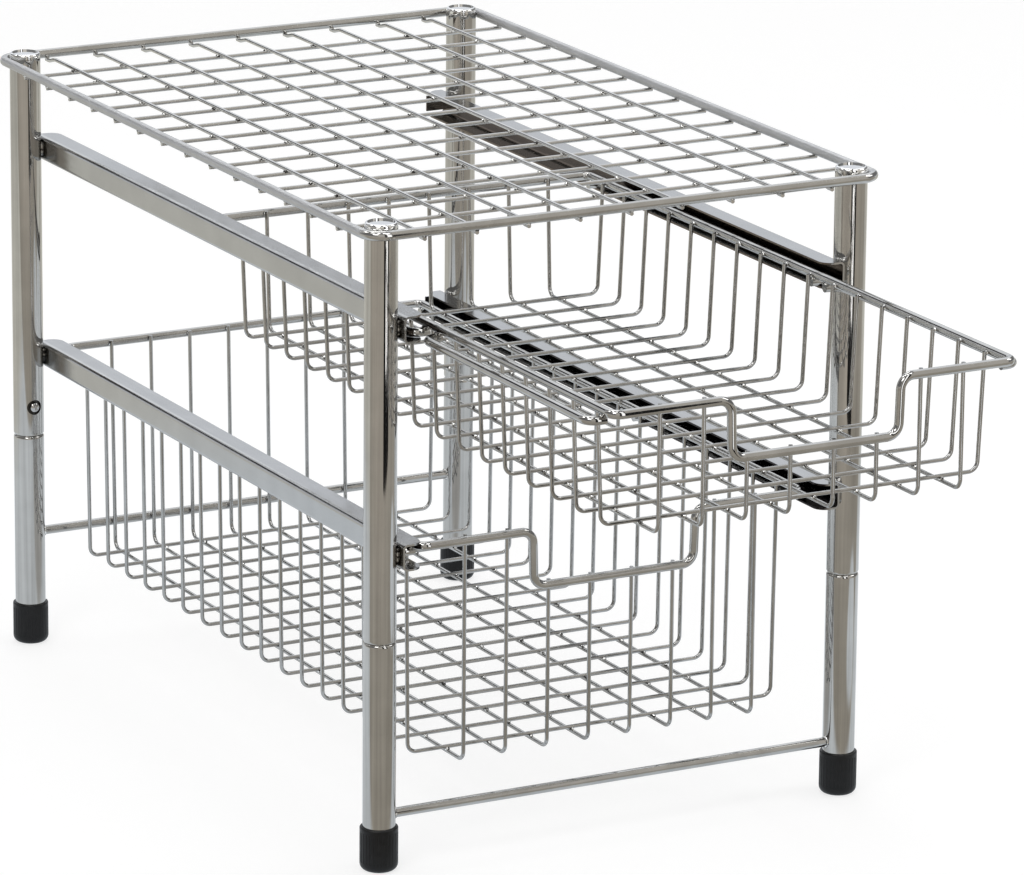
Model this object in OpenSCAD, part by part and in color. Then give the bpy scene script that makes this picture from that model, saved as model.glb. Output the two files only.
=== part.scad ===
// Two-tier pull-out basket organiser: a tube frame with a wire shelf on top and two
// wire baskets whose slide rods run in C-shaped rails.
// Millimetres, +Z up, front towards -Y, origin on the floor under the middle of the
// overall box with the upper basket pulled out.

/* [Frame] */
// Outer diameter of the upright tubes
tube_d = 20; // [18:0.5:24]
// Wall of the upright tubes
tube_wall = 1.2; // [1:0.1:1.6]
// Distance between the post axes, side to side
span_x = 320; // [280:1:400]
// Distance between the post axes, front to back
span_y = 508; // [460:1:560]
// Height of the finished frame
frame_h = 400; // [375:1:460]
// Height of the joint between leg and upper post
seam_z = 143; // [110:1:160]
// Length of the leg's narrow neck inside the upper post
neck_l = 36; // [32:1:44]
// Diameter of the two cross bars and of the shelf frame
bar_d = 6; // [4:0.1:7]
// Height of the front bar's axis
front_bar_z = 34; // [33:1:39]
// Height of the back bar's axis
back_bar_z = 75; // [66:1:110]

/* [Feet and caps] */
// Thickness of a foot's wall round the leg
foot_wall = 1.65; // [1.2:0.05:3]
// Height of a foot
foot_h = 27.5; // [20:0.5:29]
// Thickness of the foot under the leg
foot_floor = 5; // [3:0.5:8]
// Number of shallow flutes round a foot
foot_flutes = 30; // [12:1:40]
// Height of a post cap's rounded rim
cap_h = 3; // [2.4:0.1:4]
// Depth of the dish in a post cap
cap_dish = 0.9; // [0.4:0.1:1.4]

/* [Rails] */
// Underside of the lower pair of rails
lower_rail_z = 187.5; // [175:0.5:200]
// Underside of the upper pair of rails
upper_rail_z = 327; // [310:0.5:340]
// Height of a rail
rail_h = 16.5; // [15:0.5:20]
// Width of a rail's flanges
rail_w = 14; // [13:0.5:16]
// Sheet thickness of the rails
rail_t = 1.2; // [1:0.1:1.6]
// Outside radius of a rail's two long bends
rail_bend = 3; // [2:0.5:4]
// Radius of the flange corners, seen from above
rail_tip_r = 8; // [4:0.5:10]
// Reach of the rails in front of the front post axes
rail_front = 11; // [2:0.5:16]

/* [Baskets] */
// Distance between a rim's front and back rods
rim_l = 509; // [440:1:520]
// Diameter of the rim rods and slide rods
rim_d = 5.5; // [4:0.1:6]
// Diameter of the basket and shelf wires
wire_d = 2.5; // [2:0.1:3.2]
// Depth of the upper basket, rim axis to floor wire axis
upper_depth = 74; // [50:0.5:90]
// Depth of the lower basket, rim axis to floor wire axis
lower_depth = 139.5; // [100:0.5:144]
// Number of U-shaped cross wires in a basket
cross_count = 17; // [9:1:21]
// Spacing of the cross wires
cross_pitch = 28.6; // [20:0.1:29.5]
// Number of long wires in a basket
long_count = 8; // [5:1:9]
// Spacing of the long wires
long_pitch = 28.6; // [20:0.1:30]
// Inward lean of the upper basket's side walls, top to bottom
upper_lean = 3; // [0:0.5:6]
// Inward lean of the lower basket's side walls, top to bottom
lower_lean = 1.5; // [0:0.5:6]
// Forward lean of the back walls, top to bottom
back_lean = 4; // [0:0.5:8]
// Bend radius of the basket wires at the floor
wire_bend_r = 6; // [4:0.5:10]
// Bend radius of the rim's corners
rim_corner_r = 6; // [4:0.5:14]
// Width of the hand dip at the rim
dip_top_w = 112; // [90:1:140]
// Width of the hand dip at its bottom
dip_bottom_w = 110; // [80:1:130]
// Depth of the hand dip
dip_h = 35; // [25:1:45]
// Bend radius of the hand dip
dip_r = 8; // [6:0.5:10]
// Distance of the slide rods outboard of the rim
slide_step = 9.5; // [8:0.5:11]
// Distance of the front slide rod's front leg behind the rim's front rod
slide_front_inset = 12; // [8:0.5:20]
// Distance of the back slide rod's back leg before the rim's back rod
slide_back_inset = 3; // [2.5:0.5:6]
// Distance from the rim's front rod to the gap between the two slide rods of a side
slide_split = 219; // [150:1:300]
// Distance between the two legs that face each other over that gap
slide_gap = 16; // [12:0.5:24]
// Bend radius of the slide rods' corners
slide_bend_r = 7; // [5:0.5:9]
// How far the upper basket stands pulled out
upper_pull = 233; // [0:1:375]

/* [Top shelf] */
// Depth of the shelf frame's axis below the top of the caps
shelf_drop = 5.5; // [5:0.1:12]
// Bend radius of the shelf frame's corners
shelf_corner_r = 12; // [8:0.5:12.5]
// Number of shelf wires that run side to side
shelf_cross_count = 14; // [8:1:14]
// Spacing of the shelf wires that run side to side
shelf_cross_pitch = 34.4; // [24:0.1:35]
// Number of shelf wires that run front to back
shelf_long_count = 9; // [5:1:9]
// Spacing of the shelf wires that run front to back
shelf_long_pitch = 34.6; // [24:0.1:35]

/* [Snap buttons] */
// Height of the buttons above the leg joint
button_up = 20; // [18:0.5:24]
// Diameter of a button
button_d = 6; // [5:0.1:7]
// Diameter of the hole in the upper post
button_hole_d = 10; // [8:0.1:11]
// How far a button stands out of the post
button_out = 1.5; // [0.5:0.1:2.5]

/* [Hidden] */
$fn = 48;

CHROME = "#c4c6c8";
SATIN = "#aeb0b2";
SPRING_STEEL = "#8f9296";
BLACK = "#17181a";

sink = 0.05;        // how far welded rods and sheets bite into each other
play = 0.3;         // running gap between a basket and what it passes or meets
fit_gap = 0.1;      // radial gap of plugged-in pieces
seat_gap = 0.05;    // radial gap of a foot on its leg
cut = 1;            // overshoot of cutting bodies
lap = 0.05;         // how far a straight stretch of wire runs into its bends
bend_slim = 0.02;   // how much thinner a bend is than the straight wire

tube_r = tube_d / 2;
bore_r = tube_r - tube_wall;
neck_r = bore_r - fit_gap;
neck_bore_r = neck_r - tube_wall;
groove_r = 2;
groove_floor = bore_r + fit_gap;
groove_h = sqrt(pow(groove_r, 2) - pow(groove_floor - tube_r + groove_r, 2));
post_x = span_x / 2;
post_y = span_y / 2;
post_top = frame_h - cap_h;
button_z = seam_z + button_up;

// Rails, rims and slide rods, measured from the frame's own middle
web_x = post_x - tube_r + sink;
rim_side_gap = 1.2;
rim_x = web_x - rail_w - rim_side_gap - rim_d / 2;
slide_x = rim_x + slide_step;
slide_up = rail_t + play + rim_d / 2;
rim_up = slide_up + rim_d - sink;
wall_step = (rim_d + wire_d) / 2 - sink;
wire_peek = rim_d / 2 - 0.5;
slide_tail = 1.5;
lean_at_bar = back_lean * (lower_rail_z + rim_up - back_bar_z) / lower_depth;
closed_back = post_y - bar_d / 2 - play - wire_d / 2 + wall_step + lean_at_bar;
closed_front = closed_back - rim_l;
rail_end = closed_back - slide_back_inset + rim_d / 2 + play + rail_t;
rail_start = -post_y - rail_front;

// Shelf
shelf_x = post_x + tube_r + bar_d / 2 - sink;
shelf_y = post_y + tube_r + bar_d / 2 - sink;
shelf_z = frame_h - shelf_drop;
shelf_low_z = shelf_z - (bar_d + wire_d) / 2 + sink;
shelf_high_z = shelf_low_z + wire_d - sink;
wire_tail = 1;
joggle = 9;

// The overall box runs from the pulled-out rim to the back of the shelf frame
box_front = min(closed_front - upper_pull - rim_d / 2, -shelf_y - bar_d / 2);
box_back = shelf_y + bar_d / 2;
frame_shift = -(box_front + box_back) / 2;

LEFT = -1;
RIGHT = 1;
FRONT = -1;
BACK = 1;

// ---- wire work -------------------------------------------------------------

function heading(a, b) = atan2(b[1] - a[1], b[0] - a[0]);
function wrap(a) = a > 180 ? a - 360 : (a <= -180 ? a + 360 : a);
function bend_angle(a, b, c) = wrap(heading(b, c) - heading(a, b));
function trim(a, b, c, r) = r * tan(abs(bend_angle(a, b, c)) / 2);

// One straight stretch in the XY plane, shortened at both ends
module straight(a, b, d, cut_a, cut_b) {
    length = norm(b - a) - cut_a - cut_b;
    translate([a[0], a[1], 0])
        rotate([0, 0, heading(a, b)])
            translate([cut_a, 0, 0])
                rotate([0, 90, 0])
                    cylinder(h = length, d = d);
}

// The elbow at b on the way from a to c
module elbow(a, b, c, d, r) {
    turn = bend_angle(a, b, c);
    way = heading(a, b);
    side = turn > 0 ? 1 : -1;
    start = b - trim(a, b, c, r) * [cos(way), sin(way)];
    centre = start + side * r * [-sin(way), cos(way)];
    first = turn > 0 ? way - 90 : way + 90 + turn;
    translate([centre[0], centre[1], 0])
        rotate([0, 0, first])
            rotate_extrude(angle = abs(turn))
                translate([r, 0])
                    circle(d = d - bend_slim);
}

// A wire bent through a list of points in the XY plane, open at both ends
module bent_wire(points, d, r) {
    last = len(points) - 1;
    for (i = [0 : last - 1]) {
        cut_a = i == 0 ? 0 : trim(points[i - 1], points[i], points[i + 1], r) - lap;
        cut_b = i == last - 1 ? 0 : trim(points[i], points[i + 1], points[i + 2], r) - lap;
        straight(points[i], points[i + 1], d, cut_a, cut_b);
    }
    for (i = [1 : last - 1])
        elbow(points[i - 1], points[i], points[i + 1], d, r);
}

// A wire bent into a closed loop in the XY plane
module looped_wire(points, d, r) {
    n = len(points);
    for (i = [0 : n - 1]) {
        before = points[(i + n - 1) % n];
        here = points[i];
        next = points[(i + 1) % n];
        after = points[(i + 2) % n];
        cut_a = trim(before, here, next, r) - lap;
        cut_b = trim(here, next, after, r) - lap;
        straight(here, next, d, cut_a, cut_b);
        elbow(before, here, next, d, r);
    }
}

// Stands a shape drawn in XY upright, facing front or facing sideways
module upright_x() {
    rotate([90, 0, 0])
        children();
}

module upright_y() {
    rotate([90, 0, 90])
        children();
}

module in_frame() {
    translate([0, frame_shift, 0])
        children();
}

// ---- frame -----------------------------------------------------------------

module at_post(side, end) {
    in_frame()
        translate([side * post_x, end * post_y, 0])
            children();
}

// Turns a shape that faces +Y so that it faces the middle of the frame
module face_inwards(end) {
    rotate([0, 0, end == FRONT ? 0 : 180])
        children();
}

// The rounded end of a tube: full width at the bottom, narrower at the top
module tube_end() {
    rotate_extrude() {
        square([groove_floor, groove_h]);
        intersection() {
            translate([tube_r - groove_r, 0])
                circle(r = groove_r);
            square([tube_r, groove_h]);
        }
    }
}

module post(side, end) {
    color(CHROME)
        at_post(side, end)
            difference() {
                union() {
                    translate([0, 0, seam_z + groove_h])
                        cylinder(h = post_top - seam_z - groove_h, r = tube_r);
                    translate([0, 0, seam_z + groove_h])
                        mirror([0, 0, 1])
                            tube_end();
                }
                translate([0, 0, seam_z - cut])
                    cylinder(h = post_top - seam_z + 2 * cut, r = bore_r);
                face_inwards(end)
                    translate([0, 0, button_z])
                        rotate([-90, 0, 0])
                            cylinder(h = tube_d, d = button_hole_d);
            }
}

// The leg narrows to a neck that plugs into the post
module leg(side, end) {
    shoulder_z = seam_z - groove_h;
    taper_h = 4;
    color(CHROME)
        at_post(side, end)
            difference() {
                union() {
                    translate([0, 0, foot_floor])
                        cylinder(h = shoulder_z - foot_floor, r = tube_r);
                    translate([0, 0, shoulder_z])
                        tube_end();
                    translate([0, 0, seam_z])
                        cylinder(h = neck_l, r = neck_r);
                }
                translate([0, 0, foot_floor - cut])
                    cylinder(h = shoulder_z - taper_h - foot_floor + cut, r = bore_r);
                translate([0, 0, shoulder_z - taper_h])
                    cylinder(h = taper_h, r1 = bore_r, r2 = neck_bore_r);
                translate([0, 0, shoulder_z])
                    cylinder(h = seam_z + neck_l - shoulder_z + cut, r = neck_bore_r);
                face_inwards(end)
                    translate([0, 0, button_z])
                        rotate([-90, 0, 0])
                            cylinder(h = tube_d, d = button_d + 2 * fit_gap);
            }
}

module foot(side, end) {
    edge_r = 4.5;
    lip_r = 1;
    flute_r = 0.7;
    flute_depth = 0.25;
    flute_low = edge_r + 1;
    flute_high = foot_h - lip_r - 2;
    foot_r = tube_r + foot_wall;
    color(BLACK)
        at_post(side, end)
            difference() {
                rotate_extrude()
                    foot_outline(foot_r, edge_r, lip_r);
                translate([0, 0, foot_floor])
                    cylinder(h = foot_h, r = tube_r + seat_gap);
                for (i = [0 : foot_flutes - 1])
                    rotate([0, 0, i * 360 / foot_flutes])
                        translate([foot_r + flute_r - flute_depth, 0, flute_low])
                            cylinder(h = flute_high - flute_low, r = flute_r, $fn = 24);
            }
}

module foot_outline(foot_r, edge_r, lip_r) {
    square([foot_r - edge_r, foot_h]);
    translate([foot_r - edge_r, edge_r])
        square([edge_r - lip_r, foot_h - edge_r]);
    translate([foot_r - lip_r, edge_r])
        square([lip_r, foot_h - edge_r - lip_r]);
    intersection() {
        translate([foot_r - edge_r, edge_r])
            circle(r = edge_r);
        square([foot_r, edge_r]);
    }
    intersection() {
        translate([foot_r - lip_r, foot_h - lip_r])
            circle(r = lip_r);
        translate([foot_r - lip_r, foot_h - lip_r])
            square([lip_r, lip_r]);
    }
}

module cap(side, end) {
    rim_r = 1.7;
    dish_r = 0.83 * tube_r;
    plug_l = 10;
    color(CHROME)
        at_post(side, end)
            difference() {
                union() {
                    translate([0, 0, post_top])
                        rotate_extrude() {
                            square([tube_r - rim_r, cap_h]);
                            square([tube_r, cap_h - rim_r]);
                            intersection() {
                                translate([tube_r - rim_r, cap_h - rim_r])
                                    circle(r = rim_r);
                                translate([tube_r - rim_r, cap_h - rim_r])
                                    square([rim_r, rim_r]);
                            }
                        }
                    translate([0, 0, post_top - plug_l])
                        cylinder(h = plug_l, r = bore_r - fit_gap);
                }
                translate([0, 0, frame_h - cap_dish])
                    cylinder(h = cap_dish + cut, r = dish_r);
                translate([0, 0, post_top - plug_l - cut])
                    cylinder(h = plug_l + cut, r = bore_r - fit_gap - tube_wall);
            }
}

// Cross bar with its ends cut to the round of the legs
module bar(end, z) {
    color(CHROME)
        in_frame()
            difference() {
                translate([-post_x, end * post_y, z])
                    rotate([0, 90, 0])
                        cylinder(h = span_x, d = bar_d);
                for (side = [LEFT, RIGHT])
                    translate([side * post_x, end * post_y, z - tube_r])
                        cylinder(h = tube_d, r = tube_r - sink / 2);
            }
}

// ---- snap buttons ----------------------------------------------------------

button_head = 1.2;          // height of the domed end
button_flange_r = 4.4;
button_flange_h = 1;
spring_w = 7;
spring_t = 0.6;
flange_y = sqrt(pow(neck_bore_r, 2) - pow(button_flange_r, 2)) - 0.2;
spring_back_y = sqrt(pow(neck_bore_r, 2) - pow(spring_w / 2, 2)) - 0.1;

// Button facing +Y: a stem with a domed end, and a flange inside the neck
module button(side, end) {
    tip_y = tube_r + button_out;
    stem_l = tip_y - button_head - flange_y;
    dome_r = (pow(button_d / 2, 2) + pow(button_head, 2)) / (2 * button_head);
    color(CHROME)
        at_post(side, end)
            face_inwards(end)
                translate([0, flange_y, button_z])
                    rotate([-90, 0, 0]) {
                        cylinder(h = stem_l, d = button_d);
                        translate([0, 0, -button_flange_h])
                            cylinder(h = button_flange_h, r = button_flange_r);
                        intersection() {
                            translate([0, 0, stem_l + button_head - dome_r])
                                sphere(r = dome_r);
                            translate([0, 0, stem_l])
                                cylinder(h = button_head + cut, r = button_d / 2);
                        }
                    }
}

// Leaf spring bent into a U: one leg behind the button, one on the neck's far wall
module spring(side, end) {
    front = flange_y - button_flange_h;
    back = -spring_back_y;
    mid = (front + back) / 2;
    outer_r = (front - back) / 2;
    leg_up = 20;
    bend_z = button_z - 14;
    color(SPRING_STEEL)
        at_post(side, end)
            face_inwards(end)
                translate([-spring_w / 2, 0, bend_z])
                    upright_y()
                        linear_extrude(height = spring_w) {
                            translate([front - spring_t, 0])
                                square([spring_t, leg_up]);
                            translate([back, 0])
                                square([spring_t, leg_up]);
                            difference() {
                                translate([mid, 0])
                                    circle(r = outer_r);
                                translate([mid, 0])
                                    circle(r = outer_r - spring_t);
                                translate([back - cut, 0])
                                    square([front - back + 2 * cut, outer_r + cut]);
                            }
                        }
}

// ---- rails -----------------------------------------------------------------

// C section of a rail: web on the Y axis, flanges towards +X, Z drawn as Y
module rail_section() {
    inner_r = rail_bend - rail_t;
    inner_h = rail_h - 2 * rail_t;
    difference() {
        bent_block(rail_w, rail_h, rail_bend);
        translate([rail_t, rail_t])
            bent_block(rail_w, inner_h, inner_r);
    }
}

// Rectangle with its two left corners rounded
module bent_block(w, h, r) {
    translate([r, 0])
        square([w - r, h]);
    translate([0, r])
        square([r, h - 2 * r]);
    for (y = [r, h - r])
        intersection() {
            translate([r, y])
                circle(r = r);
            translate([0, y < h / 2 ? 0 : h - r])
                square([r, r]);
        }
}

// What rounds one flange corner, for a rail that starts at y = 0
module tip_cut() {
    difference() {
        translate([rail_w - rail_tip_r, -cut, -cut])
            cube([rail_tip_r + cut, rail_tip_r + cut, rail_h + 2 * cut]);
        translate([rail_w - rail_tip_r, rail_tip_r, -2 * cut])
            cylinder(h = rail_h + 4 * cut, r = rail_tip_r);
    }
}

// Channel with rounded flange corners; its web is folded across the back end as a stop
module rail(side, z) {
    length = rail_end - rail_start;
    color(SATIN)
        in_frame()
            mirror([side == RIGHT ? 1 : 0, 0, 0])
                translate([-web_x, rail_start, z]) {
                    difference() {
                        translate([0, length, 0])
                            upright_x()
                                linear_extrude(height = length)
                                    rail_section();
                        tip_cut();
                        translate([0, length, 0])
                            mirror([0, 1, 0])
                                tip_cut();
                    }
                    translate([rail_t / 2, length - rail_t, rail_bend])
                        cube([rail_w - rail_t / 2, rail_t, rail_h - 2 * rail_bend]);
                }
}

// ---- top shelf -------------------------------------------------------------

module shelf_frame() {
    color(CHROME)
        in_frame()
            translate([0, 0, shelf_z])
                looped_wire(
                    [[-shelf_x, -shelf_y], [shelf_x, -shelf_y], [shelf_x, shelf_y], [-shelf_x, shelf_y]],
                    bar_d, shelf_corner_r);
}

module shelf_cross_wires() {
    reach = shelf_x + wire_tail;
    first = -(shelf_cross_count - 1) * shelf_cross_pitch / 2;
    color(CHROME)
        in_frame()
            for (i = [0 : shelf_cross_count - 1])
                translate([-reach, first + i * shelf_cross_pitch, shelf_low_z])
                    rotate([0, 90, 0])
                        cylinder(h = 2 * reach, d = wire_d);
}

// Long wires lie on the cross wires and step down to pass under the frame
module shelf_long_wires() {
    reach = shelf_y + wire_tail;
    foot_in = shelf_y - bar_d / 2 - 1;
    top_in = foot_in - joggle;
    first = -(shelf_long_count - 1) * shelf_long_pitch / 2;
    color(CHROME)
        in_frame()
            for (i = [0 : shelf_long_count - 1])
                translate([first + i * shelf_long_pitch, 0, 0])
                    upright_y()
                        bent_wire(
                            [[-reach, shelf_low_z], [-foot_in, shelf_low_z], [-top_in, shelf_high_z],
                             [top_in, shelf_high_z], [foot_in, shelf_low_z], [reach, shelf_low_z]],
                            wire_d, 5);
}

// ---- baskets ---------------------------------------------------------------

// Puts a basket drawn from its own front rim (y = 0, z = 0 at the rim's axis) in place
module at_basket(rail_z, pull) {
    in_frame()
        translate([0, closed_front - pull, rail_z + rim_up])
            children();
}

module rim(rail_z, pull) {
    dip = dip_top_w / 2;
    low = dip_bottom_w / 2;
    lead = dip + 14;
    color(CHROME)
        at_basket(rail_z, pull) {
            bent_wire(
                [[lead, 0], [rim_x, 0], [rim_x, rim_l], [-rim_x, rim_l], [-rim_x, 0], [-lead, 0]],
                rim_d, rim_corner_r);
            upright_x()
                bent_wire(
                    [[-lead, 0], [-dip, 0], [-low, -dip_h], [low, -dip_h], [dip, 0], [lead, 0]],
                    rim_d, dip_r);
        }
}

// Where the rim's axis runs at a distance behind the front rod, corners included
function rim_side_x(y) =
    let (into_corner = max(0, rim_corner_r - min(y, rim_l - y)))
        rim_x - rim_corner_r + sqrt(pow(rim_corner_r, 2) - pow(into_corner, 2));

// Staple-shaped rod: its two legs turn in under the rim
module staple(front_y, back_y) {
    front_x = rim_side_x(front_y) - slide_tail;
    back_x = rim_side_x(back_y) - slide_tail;
    bent_wire(
        [[front_x, front_y], [slide_x, front_y], [slide_x, back_y], [back_x, back_y]],
        rim_d, slide_bend_r);
}

// The two slide rods of one side, one behind the other
module slide_rods(side, rail_z, pull) {
    color(CHROME)
        at_basket(rail_z, pull)
            translate([0, 0, slide_up - rim_up])
                mirror([side == LEFT ? 1 : 0, 0, 0]) {
                    staple(slide_front_inset, slide_split - slide_gap / 2);
                    staple(slide_split + slide_gap / 2, rim_l - slide_back_inset);
                }
}

// U-shaped wires: down one side wall, across the floor and up the other
module cross_wires(rail_z, pull, depth, lean) {
    top_x = rim_x - wall_step;
    floor_x = top_x - lean;
    floor_z = wire_d - sink - depth;
    first = (rim_l - (cross_count - 1) * cross_pitch) / 2;
    color(CHROME)
        at_basket(rail_z, pull)
            for (i = [0 : cross_count - 1])
                translate([0, first + i * cross_pitch, 0])
                    upright_x()
                        bent_wire(
                            [[-top_x, 0], [-floor_x, floor_z], [floor_x, floor_z], [top_x, 0]],
                            wire_d, wire_bend_r);
}

module upper_cross_wires() {
    cross_wires(upper_rail_z, upper_pull, upper_depth, upper_lean);
}

module lower_cross_wires() {
    cross_wires(lower_rail_z, 0, lower_depth, lower_lean);
}

// Wires down the front wall, along the floor and up the leaning back wall
module long_wires(rail_z, pull, depth) {
    first = -(long_count - 1) * long_pitch / 2;
    back_y = rim_l - wall_step;
    back_top_y = back_y + back_lean * wire_peek / depth;
    color(CHROME)
        at_basket(rail_z, pull)
            for (i = [0 : long_count - 1]) {
                x = first + i * long_pitch;
                in_dip = abs(x) < dip_bottom_w / 2;
                top_z = wire_peek + (in_dip ? -dip_h : 0);
                translate([x, 0, 0])
                    upright_y()
                        bent_wire(
                            [[wall_step, top_z], [wall_step, -depth],
                             [back_y - back_lean, -depth], [back_top_y, wire_peek]],
                            wire_d, wire_bend_r);
            }
}

// ---- nodes -----------------------------------------------------------------

post(LEFT, FRONT);  // post_front_left
post(RIGHT, FRONT);  // post_front_right
post(LEFT, BACK);  // post_back_left
post(RIGHT, BACK);  // post_back_right
leg(LEFT, FRONT);  // leg_front_left
leg(RIGHT, FRONT);  // leg_front_right
leg(LEFT, BACK);  // leg_back_left
leg(RIGHT, BACK);  // leg_back_right
foot(LEFT, FRONT);  // foot_front_left
foot(RIGHT, FRONT);  // foot_front_right
foot(LEFT, BACK);  // foot_back_left
foot(RIGHT, BACK);  // foot_back_right
cap(LEFT, FRONT);  // cap_front_left
cap(RIGHT, FRONT);  // cap_front_right
cap(LEFT, BACK);  // cap_back_left
cap(RIGHT, BACK);  // cap_back_right
button(LEFT, FRONT);  // button_front_left
button(RIGHT, FRONT);  // button_front_right
button(LEFT, BACK);  // button_back_left
button(RIGHT, BACK);  // button_back_right
spring(LEFT, FRONT);  // spring_front_left
spring(RIGHT, FRONT);  // spring_front_right
spring(LEFT, BACK);  // spring_back_left
spring(RIGHT, BACK);  // spring_back_right
bar(FRONT, front_bar_z);  // front_bar
bar(BACK, back_bar_z);  // back_bar
rail(LEFT, upper_rail_z);  // rail_upper_left
rail(RIGHT, upper_rail_z);  // rail_upper_right
rail(LEFT, lower_rail_z);  // rail_lower_left
rail(RIGHT, lower_rail_z);  // rail_lower_right
shelf_frame();
shelf_cross_wires();
shelf_long_wires();
rim(upper_rail_z, upper_pull);  // upper_rim
slide_rods(LEFT, upper_rail_z, upper_pull);  // upper_slide_left
slide_rods(RIGHT, upper_rail_z, upper_pull);  // upper_slide_right
upper_cross_wires();
long_wires(upper_rail_z, upper_pull, upper_depth);  // upper_long_wires
rim(lower_rail_z, 0);  // lower_rim
slide_rods(LEFT, lower_rail_z, 0);  // lower_slide_left
slide_rods(RIGHT, lower_rail_z, 0);  // lower_slide_right
lower_cross_wires();
long_wires(lower_rail_z, 0, lower_depth);  // lower_long_wires
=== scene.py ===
"""Looks of a two-tier pull-out basket organiser: chromed tube frame, wire shelf and wire baskets."""

import math

import bpy
from mathutils import Matrix, Vector


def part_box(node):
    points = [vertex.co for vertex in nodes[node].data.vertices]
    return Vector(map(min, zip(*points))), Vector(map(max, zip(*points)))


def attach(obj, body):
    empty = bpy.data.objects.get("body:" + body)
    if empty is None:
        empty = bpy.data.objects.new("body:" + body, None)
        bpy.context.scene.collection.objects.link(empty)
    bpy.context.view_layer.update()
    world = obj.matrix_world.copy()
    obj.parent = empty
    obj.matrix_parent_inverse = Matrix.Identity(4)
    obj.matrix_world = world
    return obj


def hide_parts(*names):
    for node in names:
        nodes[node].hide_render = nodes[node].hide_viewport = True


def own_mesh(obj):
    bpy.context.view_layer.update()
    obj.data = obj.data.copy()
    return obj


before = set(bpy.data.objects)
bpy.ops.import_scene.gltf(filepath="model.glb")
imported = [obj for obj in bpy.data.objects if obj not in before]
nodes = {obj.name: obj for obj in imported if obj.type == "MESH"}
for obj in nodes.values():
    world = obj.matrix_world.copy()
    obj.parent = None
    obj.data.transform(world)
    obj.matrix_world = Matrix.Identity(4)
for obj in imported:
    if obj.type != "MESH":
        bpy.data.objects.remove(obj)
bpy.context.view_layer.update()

MM = 0.001
UPRIGHTS = ("front_left", "front_right", "back_left", "back_right")
TUBE_R = 10 * MM
ROD_R = 2.75 * MM           # rims and slide rods
BAR_R = 3 * MM              # cross bars and the shelf's frame rod
WIRE_R = 1.25 * MM
BITE = 0.05 * MM            # how far two crossing wires sink into each other

# ---- shader nodes -------------------------------------------------------------

EVEN = (1, 1, 1)


def new_material(name):
    material = bpy.data.materials.new(name)
    material.use_nodes = True
    tree = material.node_tree
    shader = tree.nodes["Principled BSDF"]
    return material, tree, shader


def object_pattern(tree, stretch):
    """Object coordinates, stretched so that a pattern runs along one axis."""
    place = tree.nodes.new("ShaderNodeTexCoord")
    mapping = tree.nodes.new("ShaderNodeMapping")
    mapping.inputs["Scale"].default_value = stretch
    tree.links.new(place.outputs["Object"], mapping.inputs["Vector"])
    return mapping.outputs["Vector"]


def noise(tree, vector, scale, detail):
    texture = tree.nodes.new("ShaderNodeTexNoise")
    texture.inputs["Scale"].default_value = scale
    texture.inputs["Detail"].default_value = detail
    tree.links.new(vector, texture.inputs["Vector"])
    return texture.outputs["Fac"]


def between(tree, factor, low, high):
    """Spreads a noise, whose values lie around 0.3 to 0.7, over the range from low to high."""
    spread = tree.nodes.new("ShaderNodeMapRange")
    spread.inputs["From Min"].default_value = 0.3
    spread.inputs["From Max"].default_value = 0.7
    spread.inputs["To Min"].default_value = low
    spread.inputs["To Max"].default_value = high
    tree.links.new(factor, spread.inputs["Value"])
    return spread.outputs["Result"]


def ramp(tree, factor, stops):
    """A colour ramp through (position, colour) stops."""
    node = tree.nodes.new("ShaderNodeValToRGB")
    elements = node.color_ramp.elements
    while len(elements) < len(stops):
        elements.new(0.5)
    for element, (position, colour) in zip(elements, stops):
        element.position = position
        element.color = (*colour, 1)
    tree.links.new(factor, node.inputs["Fac"])
    return node.outputs["Color"]


def bump(tree, shader, height, distance, strength):
    node = tree.nodes.new("ShaderNodeBump")
    node.inputs["Strength"].default_value = strength
    node.inputs["Distance"].default_value = distance
    tree.links.new(height, node.inputs["Height"])
    tree.links.new(node.outputs["Normal"], shader.inputs["Normal"])


def math_node(tree, operation, a, b=None, clamp=False):
    """One operation on sockets or plain numbers."""
    node = tree.nodes.new("ShaderNodeMath")
    node.operation = operation
    node.use_clamp = clamp
    for socket, value in zip(node.inputs, (a, b)):
        if value is None:
            continue
        if isinstance(value, (int, float)):
            socket.default_value = value
        else:
            tree.links.new(value, socket)
    return node.outputs["Value"]


def product(tree, a, b):
    return math_node(tree, "MULTIPLY", a, b)


def mix_colour(tree, factor, a, b):
    """Colour a at factor 0, colour b at factor 1; each is a socket or plain numbers."""
    node = tree.nodes.new("ShaderNodeMix")
    node.data_type = "RGBA"
    factor_in, a_in, b_in = node.inputs[0], node.inputs[6], node.inputs[7]
    for socket, value in ((factor_in, factor), (a_in, a), (b_in, b)):
        if isinstance(value, tuple):
            socket.default_value = (*value, 1)
        elif isinstance(value, (int, float)):
            socket.default_value = value
        else:
            tree.links.new(value, socket)
    return node.outputs[2]


def vector_node(tree, operation, vector, other=None, output="Value"):
    node = tree.nodes.new("ShaderNodeVectorMath")
    node.operation = operation
    tree.links.new(vector, node.inputs[0])
    if other is not None:
        node.inputs[1].default_value = other
    return node.outputs[output]


def along(tree, vector, direction):
    return vector_node(tree, "DOT_PRODUCT", vector, direction)


def smooth_step(tree, value, low, high):
    """0 at low and 1 at high; low may be the larger one, which turns the step round."""
    node = tree.nodes.new("ShaderNodeMapRange")
    node.interpolation_type = "SMOOTHSTEP"
    node.inputs["From Min"].default_value = low
    node.inputs["From Max"].default_value = high
    tree.links.new(value, node.inputs["Value"])
    return node.outputs["Result"]


# ---- finishes -----------------------------------------------------------------

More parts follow.
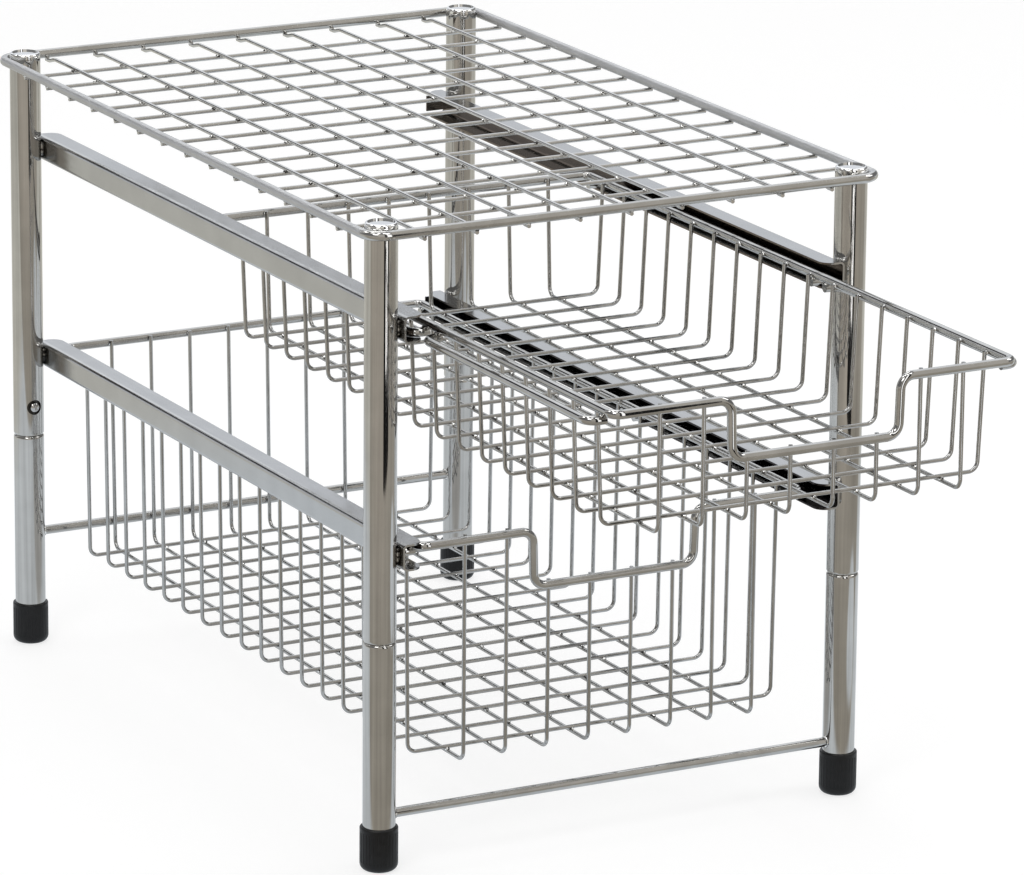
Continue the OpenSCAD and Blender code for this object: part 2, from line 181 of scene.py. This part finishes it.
CLOUDS = 55                 # noise scale of the uneven colour
STREAKS = 420               # noise scale of drawing lines
GLOSS = 300                 # noise scale of the uneven gloss
RIPPLE = 120                # noise scale of the metal's ripple
RIPPLE_STRENGTH = 0.3
LOW, HIGH = 0.3, 0.7        # ends of the colour ramps


def plated(name, dull, bright, smooth, rough, stretch, ripple, streaks=0, shade_from=None):
    """Chrome plating: slightly uneven colour and gloss, and the ripple of the drawn metal under it.

    Where a height is given, the colour above it is near black: painted shade on a leg's neck inside its post.
    """
    material, tree, shader = new_material(name)
    shader.inputs["Metallic"].default_value = 1.0
    drawn = object_pattern(tree, stretch)
    clouds = noise(tree, object_pattern(tree, EVEN), CLOUDS, 4)
    if streaks:
        clouds = math_node(tree, "ADD", product(tree, clouds, 1 - streaks),
                           product(tree, noise(tree, drawn, STREAKS, 4), streaks))
    colour = ramp(tree, clouds, ((LOW, dull), (HIGH, bright)))
    # painted shade: near black above the given height, where a leg's neck sits inside its post
    if shade_from is not None:
        height = along(tree, object_pattern(tree, EVEN), (0, 0, 1))
        painted_neck_shade = smooth_step(tree, height, shade_from, shade_from + 3 * MM)
        colour = mix_colour(tree, painted_neck_shade, colour, (0.05, 0.048, 0.045))
    tree.links.new(colour, shader.inputs["Base Color"])
    gloss = between(tree, noise(tree, drawn, GLOSS, 3), smooth, rough)
    tree.links.new(gloss, shader.inputs["Roughness"])
    bump(tree, shader, noise(tree, drawn, RIPPLE, 2), ripple, RIPPLE_STRENGTH)
    return material


def frame_rod_chrome():
    """The shelf's frame rod: its sides are rubbed matte, the front and the back keep their polish."""
    material, tree, shader = new_material("shelf_chrome")
    frame_low, frame_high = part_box("shelf_frame")
    half_y = (frame_high.y - frame_low.y) / 2
    middle_y = (frame_low.y + frame_high.y) / 2
    steady = object_pattern(tree, EVEN)
    from_middle = math_node(tree, "ADD", along(tree, steady, (0, 1, 0)), -middle_y)
    from_middle = math_node(tree, "ABSOLUTE", from_middle)
    polished = smooth_step(tree, from_middle, half_y - 18 * MM, half_y - 7 * MM)
    clouds = noise(tree, steady, CLOUDS, 4)
    matte = ramp(tree, clouds, ((LOW, (0.50, 0.503, 0.507)), (HIGH, (0.57, 0.573, 0.577))))
    bright = ramp(tree, clouds, ((LOW, (0.42, 0.415, 0.40)), (HIGH, (0.51, 0.505, 0.49))))
    tree.links.new(mix_colour(tree, polished, matte, bright), shader.inputs["Base Color"])
    rubbed_metallic = 0.55
    metallic = math_node(tree, "ADD", product(tree, polished, 1 - rubbed_metallic), rubbed_metallic)
    tree.links.new(metallic, shader.inputs["Metallic"])
    gloss = between(tree, noise(tree, steady, GLOSS, 3), 0.32, 0.42)
    gloss = math_node(tree, "SUBTRACT", gloss, product(tree, polished, 0.25))
    tree.links.new(gloss, shader.inputs["Roughness"])
    bump(tree, shader, noise(tree, steady, RIPPLE, 2), 0.05 * MM, RIPPLE_STRENGTH)
    return material


def channel_steel():
    """Satin plating on folded sheet; the inside of the channel gets painted shade, near black in the lower
    rails and a lighter brown painted reflection of the room in the upper ones.
    """
    material, tree, shader = new_material("rail_steel")
    shader.inputs["Metallic"].default_value = 1.0
    rolled = object_pattern(tree, (1, 0.04, 1))
    clouds = noise(tree, object_pattern(tree, EVEN), 40, 4)
    plate = ramp(tree, clouds, ((LOW, (0.44, 0.442, 0.442)), (HIGH, (0.49, 0.492, 0.492))))
    place = tree.nodes.new("ShaderNodeSeparateXYZ")
    facing = tree.nodes.new("ShaderNodeSeparateXYZ")
    tree.links.new(tree.nodes.new("ShaderNodeTexCoord").outputs["Object"], place.inputs[0])
    tree.links.new(tree.nodes.new("ShaderNodeNewGeometry").outputs["Normal"], facing.inputs[0])
    # painted shade on the channel's inward faces: near black low down, lighter brown in the upper rails as a
    # painted reflection of the room
    inwards = product(tree, product(tree, place.outputs["X"], facing.outputs["X"]), -1)
    inside = smooth_step(tree, inwards, 0.02, 0.08)
    upper_rails_lit = smooth_step(tree, place.outputs["Z"], 0.25, 0.30)
    painted_channel_shade = mix_colour(tree, upper_rails_lit, (0.030, 0.026, 0.025), (0.15, 0.125, 0.105))
    tree.links.new(mix_colour(tree, inside, plate, painted_channel_shade), shader.inputs["Base Color"])
    tree.links.new(between(tree, noise(tree, rolled, GLOSS, 3), 0.12, 0.20), shader.inputs["Roughness"])
    bump(tree, shader, noise(tree, rolled, RIPPLE, 2), 0.03 * MM, RIPPLE_STRENGTH)
    return material


TUBE_PLATING = {
    "dull": (0.40, 0.392, 0.378), "bright": (0.56, 0.552, 0.535), "smooth": 0.03, "rough": 0.07,
    "stretch": (1, 1, 0.015), "ripple": 0.06 * MM, "streaks": 0.7,
}
tube_chrome = plated("tube_chrome", **TUBE_PLATING)
leg_chrome = plated("leg_chrome", **TUBE_PLATING, shade_from=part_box("post_front_left")[0].z + 4 * MM)
cap_chrome = plated("cap_chrome", (0.74, 0.74, 0.735), (0.86, 0.86, 0.855), 0.05, 0.12, EVEN, 0.02 * MM)
shelf_chrome = frame_rod_chrome()
rod_chrome = plated("rod_chrome", (0.41, 0.407, 0.397), (0.50, 0.497, 0.487), 0.05, 0.12, EVEN, 0.05 * MM)
wire_chrome = plated("wire_chrome", (0.50, 0.498, 0.49), (0.59, 0.588, 0.58), 0.08, 0.15, EVEN, 0.04 * MM)
basket_chrome = plated("basket_chrome", (0.37, 0.368, 0.361), (0.47, 0.468, 0.461), 0.05, 0.11, EVEN,
                       0.04 * MM)
rail_steel = channel_steel()
button_steel = plated("button_steel", (0.46, 0.455, 0.45), (0.54, 0.535, 0.53), 0.08, 0.14, EVEN, 0.03 * MM)
spring_steel = plated("spring_steel", (0.30, 0.30, 0.31), (0.38, 0.38, 0.39), 0.22, 0.34, (1, 1, 0.1),
                      0.02 * MM)


def spattered():
    """Chrome over a weld: bright beads with burnt pits between them."""
    material, tree, shader = new_material("weld_metal")
    shader.inputs["Metallic"].default_value = 1.0
    beads = noise(tree, object_pattern(tree, EVEN), 650, 3)
    burnt, plate, glint = (0.07, 0.068, 0.066), (0.55, 0.548, 0.54), (0.95, 0.95, 0.94)
    colour = ramp(tree, beads, ((0.43, burnt), (0.50, plate), (0.55, glint)))
    tree.links.new(colour, shader.inputs["Base Color"])
    tree.links.new(between(tree, beads, 0.14, 0.04), shader.inputs["Roughness"])
    bump(tree, shader, beads, 0.25 * MM, 0.6)
    return material


weld_metal = spattered()


def moulded_black():
    """Soft black plastic with a fine moulded grain and a little dust in it."""
    material, tree, shader = new_material("foot_plastic")
    grain = object_pattern(tree, EVEN)
    dust = noise(tree, grain, 240, 5)
    colour = ramp(tree, dust, ((0.35, (0.005, 0.005, 0.0055)), (0.75, (0.013, 0.013, 0.0135))))
    tree.links.new(colour, shader.inputs["Base Color"])
    tree.links.new(between(tree, dust, 0.32, 0.46), shader.inputs["Roughness"])
    shader.inputs["Specular IOR Level"].default_value = 0.3
    bump(tree, shader, noise(tree, grain, 2600, 2), 0.06 * MM, 0.5)
    return material


foot_plastic = moulded_black()

FINISH = {
    "post": tube_chrome, "leg": leg_chrome, "cap": cap_chrome, "foot": foot_plastic,
    "button": button_steel, "spring": spring_steel, "rail": rail_steel,
    "front_bar": rod_chrome, "back_bar": rod_chrome, "shelf_frame": shelf_chrome,
    "upper_rim": rod_chrome, "lower_rim": rod_chrome,
    "upper_slide": rod_chrome, "lower_slide": rod_chrome,
    "shelf_cross": wire_chrome, "shelf_long": wire_chrome,
    "upper_cross": basket_chrome, "upper_long": basket_chrome,
    "lower_cross": basket_chrome, "lower_long": basket_chrome,
}
for node_name, node in nodes.items():
    for start, finish in FINISH.items():
        if node_name.startswith(start):
            for slot in node.material_slots:
                slot.material = finish

# ---- modelling ----------------------------------------------------------------


def start_piece():
    """Leaves nothing selected, and no object in edit mode."""
    if bpy.context.object and bpy.context.object.mode != "OBJECT":
        bpy.ops.object.mode_set(mode="OBJECT")
    bpy.ops.object.select_all(action="DESELECT")


def apply_place():
    bpy.ops.object.transform_apply(location=True, rotation=True, scale=True)


def modify(thing, kind, **settings):
    """Runs one modifier on a mesh and applies it."""
    modifier = thing.modifiers.new(kind, kind)
    for name, value in settings.items():
        setattr(modifier, name, value)
    bpy.context.view_layer.objects.active = thing
    bpy.ops.object.modifier_apply(modifier=modifier.name)


def finish_piece(piece, name, finish, smooth_to):
    """Smooth faces up to an angle in degrees, the origin at the world's, a name and a finish."""
    bpy.ops.object.shade_smooth_by_angle(angle=math.radians(smooth_to))
    bpy.context.scene.cursor.location = (0, 0, 0)
    bpy.ops.object.origin_set(type="ORIGIN_CURSOR")
    piece.name = name
    piece.data.materials.clear()
    piece.data.materials.append(finish)


# ---- leaf springs -------------------------------------------------------------

LEAF_T = 0.6 * MM


def leaf_spring(corner):
    """A bent strip at its button: one leaf behind the button, one on the neck's wall."""
    node_name = "spring_" + corner
    low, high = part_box(node_name)
    thick = high.y - low.y
    bend_r = thick / 2
    middle = (low + high) / 2
    bend_z = low.z + bend_r
    start_piece()
    bpy.ops.mesh.primitive_cylinder_add(
        vertices=40, radius=bend_r, depth=high.x - low.x, end_fill_type="NOTHING",
        location=(middle.x, middle.y, bend_z), rotation=(0, math.radians(90), 0))
    apply_place()
    strip = bpy.context.object
    bpy.ops.object.mode_set(mode="EDIT")
    bpy.ops.mesh.select_all(action="SELECT")
    bpy.ops.mesh.bisect(plane_co=(middle.x, middle.y, bend_z), plane_no=(0, 0, 1), clear_outer=True)
    bpy.ops.mesh.extrude_edges_move(TRANSFORM_OT_translate={"value": (0, 0, high.z - bend_z)})
    bpy.ops.mesh.select_all(action="SELECT")
    bpy.ops.mesh.normals_make_consistent(inside=False)
    bpy.ops.object.mode_set(mode="OBJECT")
    modify(strip, "SOLIDIFY", thickness=LEAF_T, offset=-1)
    modify(strip, "BEVEL", width=0.1 * MM, segments=2)
    finish_piece(strip, "leaf_" + node_name, spring_steel, 40)
    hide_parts(node_name)
    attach(strip, "frame")
    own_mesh(strip)


# ---- welds --------------------------------------------------------------------


def nugget(centre, size):
    """A squeezed-out lump of weld, round all over, a few dozen faces; its size is in millimetres."""
    start_piece()
    bpy.ops.mesh.primitive_cube_add(size=1, location=centre)
    lump = bpy.context.object
    modify(lump, "SUBSURF", levels=2, render_levels=2)
    bpy.context.view_layer.update()
    lump.dimensions = [side * MM for side in size]
    apply_place()
    return lump


def repeat(lump, step, count):
    """Copies a lump in a row, as separate lumps of one piece."""
    modify(lump, "ARRAY", use_relative_offset=False, use_constant_offset=True,
           constant_offset_displace=step, count=count)
    return lump


def weld_ring(centre, around_r, bead_r):
    """The fillet round a bar where it meets a leg; the bar runs along X."""
    start_piece()
    bpy.ops.mesh.primitive_torus_add(
        location=centre, rotation=(0, math.radians(90), 0), major_segments=20, minor_segments=8,
        major_radius=around_r, minor_radius=bead_r)
    apply_place()
    return bpy.context.object


def join(name, body, lumps):
    """Makes one finished piece of the lumps, which rides on a body."""
    start_piece()
    for lump in lumps:
        lump.select_set(True)
    bpy.context.view_layer.objects.active = lumps[0]
    bpy.ops.object.join()
    piece = bpy.context.object
    finish_piece(piece, name, weld_metal, 70)
    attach(piece, body)


def basket_welds(tier, body):
    """Welds of the mesh's crossings, of its wires on the rim, and of the slide rods under the rim."""
    rim_low, rim_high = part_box(tier + "_rim")
    long_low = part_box(tier + "_long_wires")[0]
    cross_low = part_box(tier + "_cross_wires")[0]
    rim_x = rim_high.x - ROD_R
    rim_z = rim_high.z - ROD_R
    front_y = rim_low.y + ROD_R
    back_y = rim_high.y - ROD_R
    first_x = long_low.x + WIRE_R
    first_y = cross_low.y + WIRE_R
    floor_z = long_low.z + 2 * WIRE_R - BITE / 2
    pitch = 28.6 * MM
    long_wires, cross_wires = 8, 17
    dip_h = 35 * MM
    end_weld = (3.1, 1.5, 3.2)
    slide_legs = (front_y + 12 * MM, front_y + 211 * MM, front_y + 227 * MM, back_y - 3 * MM)
    seam = ROD_R - BITE / 2

    floor = nugget((first_x, first_y, floor_z), (3.3, 5.8, 2.6))
    repeat(floor, (pitch, 0, 0), long_wires)
    repeat(floor, (0, pitch, 0), cross_wires)
    lumps = [floor]
    for side in (-1, 1):
        at_rim = nugget((side * (rim_x - seam), first_y, rim_z - 0.5 * MM), (1.9, 3.4, 3.0))
        lumps.append(repeat(at_rim, (0, pitch, 0), cross_wires))
    back = nugget((first_x, back_y - seam, rim_z), end_weld)
    lumps.append(repeat(back, (pitch, 0, 0), long_wires))
    for first, count, down in ((0, 2, 0), (2, 4, dip_h), (6, 2, 0)):
        front = nugget((first_x + first * pitch, front_y + seam, rim_z - down), end_weld)
        lumps.append(repeat(front, (pitch, 0, 0), count))
    for side in (-1, 1):
        for y in slide_legs:
            lumps.append(nugget((side * rim_x, y, rim_z - seam), (5.6, 5.6, 2.2)))
    join(tier + "_basket_welds", body, lumps)


def shelf_welds():
    """Welds of the shelf's crossings and of its wires' ends on the frame rod."""
    low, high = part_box("shelf_frame")
    cross_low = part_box("shelf_cross_wires")[0]
    long_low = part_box("shelf_long_wires")[0]
    frame_x, frame_y = high.x - BAR_R, (high.y - low.y) / 2 - BAR_R
    middle_y = (low.y + high.y) / 2
    long_pitch, cross_pitch = 34.6 * MM, 34.4 * MM
    long_wires, cross_wires = 9, 14
    first_x = long_low.x + WIRE_R
    first_y = cross_low.y + WIRE_R
    seam_z = cross_low.z + 2 * WIRE_R - BITE / 2

    grid = nugget((first_x, first_y, seam_z), (5.2, 3.2, 2.4))
    repeat(grid, (long_pitch, 0, 0), long_wires)
    repeat(grid, (0, cross_pitch, 0), cross_wires)
    lumps = [grid]
    for side in (-1, 1):
        ends = nugget((side * frame_x, first_y, seam_z), (3.6, 3.2, 1.5))
        lumps.append(repeat(ends, (0, cross_pitch, 0), cross_wires))
        tails = nugget((first_x, middle_y + side * frame_y, seam_z), (3.2, 3.6, 1.5))
        lumps.append(repeat(tails, (long_pitch, 0, 0), long_wires))
    join("shelf_welds", "frame", lumps)


def frame_welds():
    """Welds of the shelf, the rails and the cross bars on the uprights."""
    frame_low, frame_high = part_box("shelf_frame")
    rod_z = (frame_low.z + frame_high.z) / 2
    touch = TUBE_R - BITE / 2
    lumps = []
    for corner in UPRIGHTS:
        side = 1 if corner.endswith("right") else -1
        end = 1 if corner.startswith("back") else -1
        low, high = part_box("post_" + corner)
        x, y = (low.x + high.x) / 2, (low.y + high.y) / 2
        lumps.append(nugget((x + side * touch, y, rod_z), (1.5, 7, 4.4)))
        lumps.append(nugget((x, y + end * touch, rod_z), (7, 1.5, 4.4)))
        for tier in ("upper", "lower"):
            rail_low, rail_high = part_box("rail_" + tier + ("_right" if side > 0 else "_left"))
            middle_z = (rail_low.z + rail_high.z) / 2
            for step in (-2.9 * MM, 2.9 * MM):
                lumps.append(nugget((x - side * (TUBE_R - 0.25 * MM), y + step, middle_z), (0.9, 2.2, 10)))
        bar = "front_bar" if end < 0 else "back_bar"
        bar_low, bar_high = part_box(bar)
        bar_z = (bar_low.z + bar_high.z) / 2
        lumps.append(weld_ring((x - side * (TUBE_R - 0.15 * MM), y, bar_z), BAR_R + 0.15 * MM, 0.75 * MM))
    join("frame_welds", "frame", lumps)


for upright in UPRIGHTS:
    leaf_spring(upright)
basket_welds("upper", "upper_basket")
basket_welds("lower", "lower_basket")
shelf_welds()
frame_welds()

# ---- camera -------------------------------------------------------------------

lens = bpy.data.cameras.new("camera")
lens.sensor_width = 36
lens.lens = 234.103
lens.shift_x = 0.04217
lens.shift_y = -0.05751
lens.clip_end = 60
camera = bpy.data.objects.new("camera", lens)
right = Vector((0.88443245, -0.46661183, 0.00725524))
up = Vector((0.11694003, 0.23664952, 0.96453203))
ahead = Vector((0.45177901, 0.852215, -0.26386612))
turn = Matrix((right, up, -ahead)).transposed().to_4x4()
camera.matrix_world = Matrix.Translation((-1.88264, -3.50519, 1.33813)) @ turn
bpy.context.scene.collection.objects.link(camera)
bpy.context.scene.camera = camera

# ---- studio -------------------------------------------------------------------

TO_CAMERA = Vector((-ahead.x, -ahead.y, 0)).normalized()
LAMP_ROW = (                # directions of the lamps that glints show
    (-0.395, 0.457, 0.797), (-0.320, 0.140, 0.937), (-0.132, -0.084, 0.987),
    (0.075, -0.318, 0.945), (0.220, -0.356, 0.908))
LAMP_EDGE = (0.9950, 0.9968)    # cosines of a lamp's rim and of its full brightness


def grey(tone):
    return (tone, tone, tone)


def studio_world():
    """White to the eye; in reflections a beige room in front, bright panels behind, a dark flag between."""
    world = bpy.data.worlds.new("studio")
    bpy.context.scene.world = world
    world.use_nodes = True
    tree = world.node_tree
    background = tree.nodes["Background"]
    direction = tree.nodes.new("ShaderNodeTexCoord").outputs["Generated"]
    height = along(tree, direction, (0, 0, 1))
    across = along(tree, direction, (1, 0, 0))
    toward = along(tree, direction, TO_CAMERA)
    flag_left = along(tree, direction, (0.90, 0.44, 0))
    flag_right = along(tree, direction, (-0.99, -0.16, 0))

    panel_low, panel_high, panel_left = (0.80, 0.83, 0.88), (1.20, 1.23, 1.28), (0.74, 0.75, 0.77)
    back = mix_colour(tree, smooth_step(tree, height, 0.28, 0.40), panel_low, panel_high)
    back = mix_colour(tree, smooth_step(tree, flag_left, -0.02, 0.02), panel_left, back)
    tone = mix_colour(tree, smooth_step(tree, toward, -0.45, -0.15), back, (0.68, 0.65, 0.60))

    at_right = smooth_step(tree, across, 0.66, 0.70)
    at_left = smooth_step(tree, across, -0.60, -0.66)
    aside = math_node(tree, "MAXIMUM", at_right, at_left)
    aside = product(tree, aside, smooth_step(tree, height, 0.05, 0.12))
    tone = mix_colour(tree, aside, tone, grey(0.24))

    ceiling = product(tree, smooth_step(tree, height, 0.76, 0.80), smooth_step(tree, across, 0.40, 0.36))
    tone = mix_colour(tree, ceiling, tone, grey(0.28))

    in_flag = math_node(tree, "MINIMUM", flag_left, flag_right)
    flag = product(tree, smooth_step(tree, in_flag, -0.01, 0.02), smooth_step(tree, height, 0.18, 0.24))
    tone = mix_colour(tree, flag, tone, (0.02, 0.02, 0.022))

    lamps = 0.0
    for lamp in LAMP_ROW:
        lamps = math_node(tree, "MAXIMUM", smooth_step(tree, along(tree, direction, lamp), *LAMP_EDGE), lamps)
    tone = mix_colour(tree, lamps, tone, grey(9.0))

    light = tree.nodes.new("ShaderNodeLightPath")
    reflected = math_node(tree, "ADD", light.outputs["Is Glossy Ray"], light.outputs["Is Transmission Ray"],
                          clamp=True)
    tone = mix_colour(tree, reflected, grey(0.60), tone)
    tone = mix_colour(tree, light.outputs["Is Camera Ray"], tone, grey(1.0))
    tree.links.new(tone, background.inputs["Color"])
    background.inputs["Strength"].default_value = 1.0


FLOOR_TONE = 0.34


def studio_floor():
    """White to the eye, with its soft shadow; in reflections light round the object, beige in front, and
    darker under the object as a painted shadow.
    """
    start_piece()
    bpy.ops.mesh.primitive_plane_add(size=24, location=(0, 0, 0))
    floor = bpy.context.object
    floor.name = "floor"
    material, tree, shader = new_material("floor")
    shader.inputs["Base Color"].default_value = (*grey(FLOOR_TONE), 1)
    shader.inputs["Roughness"].default_value = 0.9
    shader.inputs["Specular IOR Level"].default_value = 0.1
    place = tree.nodes.new("ShaderNodeTexCoord").outputs["Object"]
    toward = along(tree, place, TO_CAMERA)
    distance = vector_node(tree, "LENGTH", place)

    outwards = smooth_step(tree, distance, 0.70, 1.05)
    light_tone = mix_colour(tree, outwards, (0.84, 0.89, 0.935), (0.76, 0.75, 0.69))
    forwards = smooth_step(tree, toward, 0.45, 1.1)
    beige_tone = mix_colour(tree, forwards, (0.47, 0.44, 0.385), (0.56, 0.515, 0.45))
    reach = math_node(tree, "ADD", along(tree, place, (-0.14, -1, 0)), product(tree, distance, 0.12))
    beige = smooth_step(tree, reach, 0.21, 0.26)
    from_patch = vector_node(tree, "DISTANCE", place, (0.40, -0.42, 0))
    beige = product(tree, beige, smooth_step(tree, from_patch, 0.14, 0.20))
    tone = mix_colour(tree, beige, light_tone, beige_tone)

    # painted shadow: in reflections the floor under the object is darker
    half_x, half_y, middle_y = 0.15, 0.26, 0.11
    beside = math_node(tree, "ABSOLUTE", along(tree, place, (1, 0, 0)))
    lengthways = math_node(tree, "ADD", along(tree, place, (0, 1, 0)), -middle_y)
    lengthways = math_node(tree, "ABSOLUTE", lengthways)
    out = math_node(tree, "MAXIMUM", product(tree, beside, 1 / half_x), product(tree, lengthways, 1 / half_y))
    tone = mix_colour(tree, smooth_step(tree, out, 0.9, 0.6), tone, (0.60, 0.60, 0.59))

    glow = vector_node(tree, "SUBTRACT", tone, grey(0.85 * FLOOR_TONE), output="Vector")
    light = tree.nodes.new("ShaderNodeLightPath")
    shown = mix_colour(tree, light.outputs["Is Camera Ray"], glow, grey(1 - 0.78 * FLOOR_TONE))
    tree.links.new(shown, shader.inputs["Emission Color"])
    rays = math_node(tree, "ADD", light.outputs["Is Glossy Ray"], light.outputs["Is Transmission Ray"])
    rays = math_node(tree, "ADD", rays, light.outputs["Is Camera Ray"], clamp=True)
    tree.links.new(rays, shader.inputs["Emission Strength"])
    floor.data.materials.append(material)


def reflected_panel(name, left, right, bottom, y, tone, strength):
    """A tall panel in front, which only reflections show."""
    top = 2.2
    start_piece()
    bpy.ops.mesh.primitive_plane_add(size=1, rotation=(math.radians(90), 0, 0))
    panel = bpy.context.object
    panel.dimensions = (right - left, top - bottom, 0)
    panel.location = ((left + right) / 2, y, (top + bottom) / 2)
    apply_place()
    panel.name = name
    material, tree, shader = new_material(name)
    shader.inputs["Base Color"].default_value = (*grey(tone), 1)
    shader.inputs["Roughness"].default_value = 0.9
    shader.inputs["Emission Color"].default_value = (*grey(tone), 1)
    shader.inputs["Emission Strength"].default_value = strength
    panel.data.materials.append(material)
    panel.visible_camera = False
    panel.visible_diffuse = False
    panel.visible_shadow = False


def soft_light(name, place, size, power):
    """A square area light turned to the object's middle."""
    lamp = bpy.data.lights.new(name, "AREA")
    lamp.shape = "SQUARE"
    lamp.size = size
    lamp.energy = power
    holder = bpy.data.objects.new(name, lamp)
    holder.location = place
    aim = Vector((0, 0, 0.2)) - Vector(place)
    holder.rotation_euler = aim.to_track_quat("-Z", "Y").to_euler()
    bpy.context.scene.collection.objects.link(holder)


studio_world()
studio_floor()
soft_light("key", (-1.6, -1.2, 2.2), 0.9, 13)
soft_light("fill", (1.8, -0.6, 1.9), 0.9, 8)
soft_light("rim", (0.3, 1.2, 2.7), 1.0, 8)
reflected_panel("flag", -0.27, 0.27, 0.0, -0.965, 0.01, 0)
reflected_panel("strip", -0.09, 0.11, 0.09, -0.960, 1.0, 1.6)
bpy.context.scene.view_settings.view_transform = "Standard"
